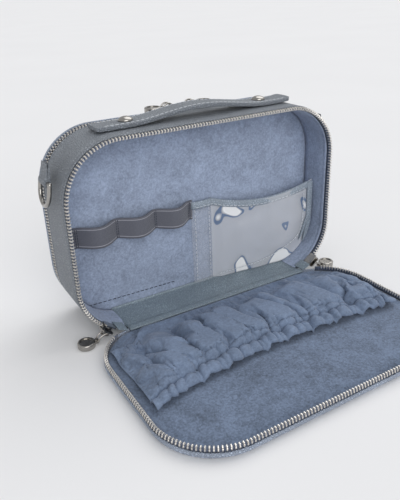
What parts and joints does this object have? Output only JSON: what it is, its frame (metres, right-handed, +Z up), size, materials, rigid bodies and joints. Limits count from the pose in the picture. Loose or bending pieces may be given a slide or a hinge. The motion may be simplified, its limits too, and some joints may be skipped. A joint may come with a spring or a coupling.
{
  "type": "travel jewelry case",
  "caption": "Soft leather travel jewelry case with two zipped lids, a padded divider, elastic loops, a clear pocket, a gathered lid pocket, a top handle and side rings.",
  "frame": {"origin": "centre of the underside of the case body, on the surface that it stands on", "axes": "+X to the right along the case's width, -Y toward the open front lid, +Z up"},
  "size_m": [0.2388, 0.2043, 0.1521],
  "materials": {
    "band_leather": "pebbled, semi-matt",
    "lid_leather": "pebbled, semi-matt",
    "smooth_leather": "smooth, matt",
    "suede": "brushed microsuede",
    "zip_tape": "woven tape",
    "elastic_webbing": "woven elastic",
    "foam": "soft wadding",
    "board": "grey fibre board",
    "nickel": "polished nickel plate",
    "clear_film": "clear flexible film"
  },
  "bodies": {
    "case": {"body_band": "band_leather", "band_stiffener": "board", "front_wall_lining": "suede", "back_wall_lining": "suede", "divider_board": "board", "divider_front_lining": "suede", "divider_back_lining": "suede", "front_body_tape": "zip_tape", "back_body_tape": "zip_tape", "front_body_teeth": "nickel", "back_body_teeth": "nickel", "front_zip_stops": "nickel", "back_zip_stops": "nickel", "front_hinge_strip": "smooth_leather", "back_hinge_strip": "smooth_leather", "front_hinge_leather": "band_leather", "back_hinge_leather": "band_leather", "front_hinge_patches": "suede", "elastic_loops": "elastic_webbing", "pvc_pocket": "clear_film", "pocket_binding": "smooth_leather", "handle_strap": "band_leather", "handle_studs": "nickel", "ring_tab_left": "band_leather", "ring_tab_right": "band_leather"},
    "front_lid": {"front_lid_shell": "lid_leather", "front_lid_board": "board", "front_lid_foam": "foam", "front_lid_lining": "suede", "front_lid_tape": "zip_tape", "front_lid_teeth": "nickel", "front_lid_zip_ends": "nickel", "lid_pocket": "suede", "lid_pocket_elastic": "elastic_webbing"},
    "back_lid": {"back_lid_shell": "lid_leather", "back_lid_board": "board", "back_lid_foam": "foam", "back_lid_lining": "suede", "back_lid_tape": "zip_tape", "back_lid_teeth": "nickel"},
    "front_left_slider": {"front_left_slider": "nickel"},
    "front_left_link": {"front_left_link": "nickel"},
    "front_left_disc": {"front_left_disc": "nickel"},
    "front_right_slider": {"front_right_slider": "nickel"},
    "front_right_link": {"front_right_link": "nickel"},
    "front_right_disc": {"front_right_disc": "nickel"},
    "back_left_slider": {"back_left_slider": "nickel"},
    "back_left_link": {"back_left_link": "nickel"},
    "back_left_disc": {"back_left_disc": "nickel"},
    "back_right_slider": {"back_right_slider": "nickel"},
    "back_right_link": {"back_right_link": "nickel"},
    "back_right_disc": {"back_right_disc": "nickel"},
    "d_ring_left": {"d_ring_left": "nickel"},
    "d_ring_right": {"d_ring_right": "nickel"}
  },
  "joints": [
    {"name": "front_lid_hinge", "type": "hinge", "parent": "case", "child": "front_lid", "pos_m": [0, -0.03075, 0.00425], "axis": [1, 0, 0], "range_deg": [-90, 0], "deforming": ["front_hinge_strip", "front_hinge_leather", "front_hinge_patches", "front_lid_zip_ends"]},
    {"name": "back_lid_hinge", "type": "hinge", "parent": "case", "child": "back_lid", "pos_m": [0, 0.03075, 0.00425], "axis": [1, 0, 0], "range_deg": [-90, 0], "deforming": ["back_hinge_strip", "back_hinge_leather"]},
    {"name": "front_left_slider_run", "type": "hinge", "parent": "case", "child": "front_left_slider", "pos_m": [-0.07, -0.0255, 0.042], "axis": [0, 1, 0], "range_deg": [0, 53]},
    {"name": "front_left_link_pivot", "type": "hinge", "parent": "front_left_slider", "child": "front_left_link", "pos_m": [-0.09648, -0.0255, 0.00686], "axis": [0, 1, 0], "range_deg": [0, 30]},
    {"name": "front_left_disc_pivot", "type": "hinge", "parent": "front_left_link", "child": "front_left_disc", "pos_m": [-0.10318, -0.0255, 0.00235], "axis": [0, 1, 0], "range_deg": [0, 25]},
    {"name": "back_left_slider_run", "type": "slide", "parent": "case", "child": "back_left_slider", "axis": [-1, 0, 0], "range_m": [0, 0.064]},
    {"name": "back_left_link_pivot", "type": "hinge", "parent": "back_left_slider", "child": "back_left_link", "pos_m": [-0.006, 0.0255, 0.145], "axis": [0, 1, 0], "range_deg": [0, 60]},
    {"name": "back_left_disc_pivot", "type": "hinge", "parent": "back_left_link", "child": "back_left_disc", "pos_m": [-0.014, 0.0255, 0.14555], "axis": [0, 1, 0], "range_deg": [0, 25]},
    {"name": "d_ring_left_swing", "type": "hinge", "parent": "case", "child": "d_ring_left", "pos_m": [-0.1151, 0, 0.116], "axis": [0, 1, 0], "range_deg": [-10, 100]},
    {"name": "front_right_slider_run", "type": "hinge", "parent": "case", "child": "front_right_slider", "pos_m": [0.07, -0.0255, 0.042], "axis": [0, 1, 0], "range_deg": [-53, 0]},
    {"name": "front_right_link_pivot", "type": "hinge", "parent": "front_right_slider", "child": "front_right_link", "pos_m": [0.09648, -0.0255, 0.00686], "axis": [0, 1, 0], "range_deg": [-30, 0]},
    {"name": "front_right_disc_pivot", "type": "hinge", "parent": "front_right_link", "child": "front_right_disc", "pos_m": [0.10318, -0.0255, 0.00235], "axis": [0, 1, 0], "range_deg": [-25, 0]},
    {"name": "back_right_slider_run", "type": "slide", "parent": "case", "child": "back_right_slider", "axis": [1, 0, 0], "range_m": [0, 0.064]},
    {"name": "back_right_link_pivot", "type": "hinge", "parent": "back_right_slider", "child": "back_right_link", "pos_m": [0.006, 0.0255, 0.145], "axis": [0, 1, 0], "range_deg": [-60, 0]},
    {"name": "back_right_disc_pivot", "type": "hinge", "parent": "back_right_link", "child": "back_right_disc", "pos_m": [0.014, 0.0255, 0.14555], "axis": [0, 1, 0], "range_deg": [-25, 0]},
    {"name": "d_ring_right_swing", "type": "hinge", "parent": "case", "child": "d_ring_right", "pos_m": [0.1151, 0, 0.116], "axis": [0, 1, 0], "range_deg": [-100, 10]}
  ]
}
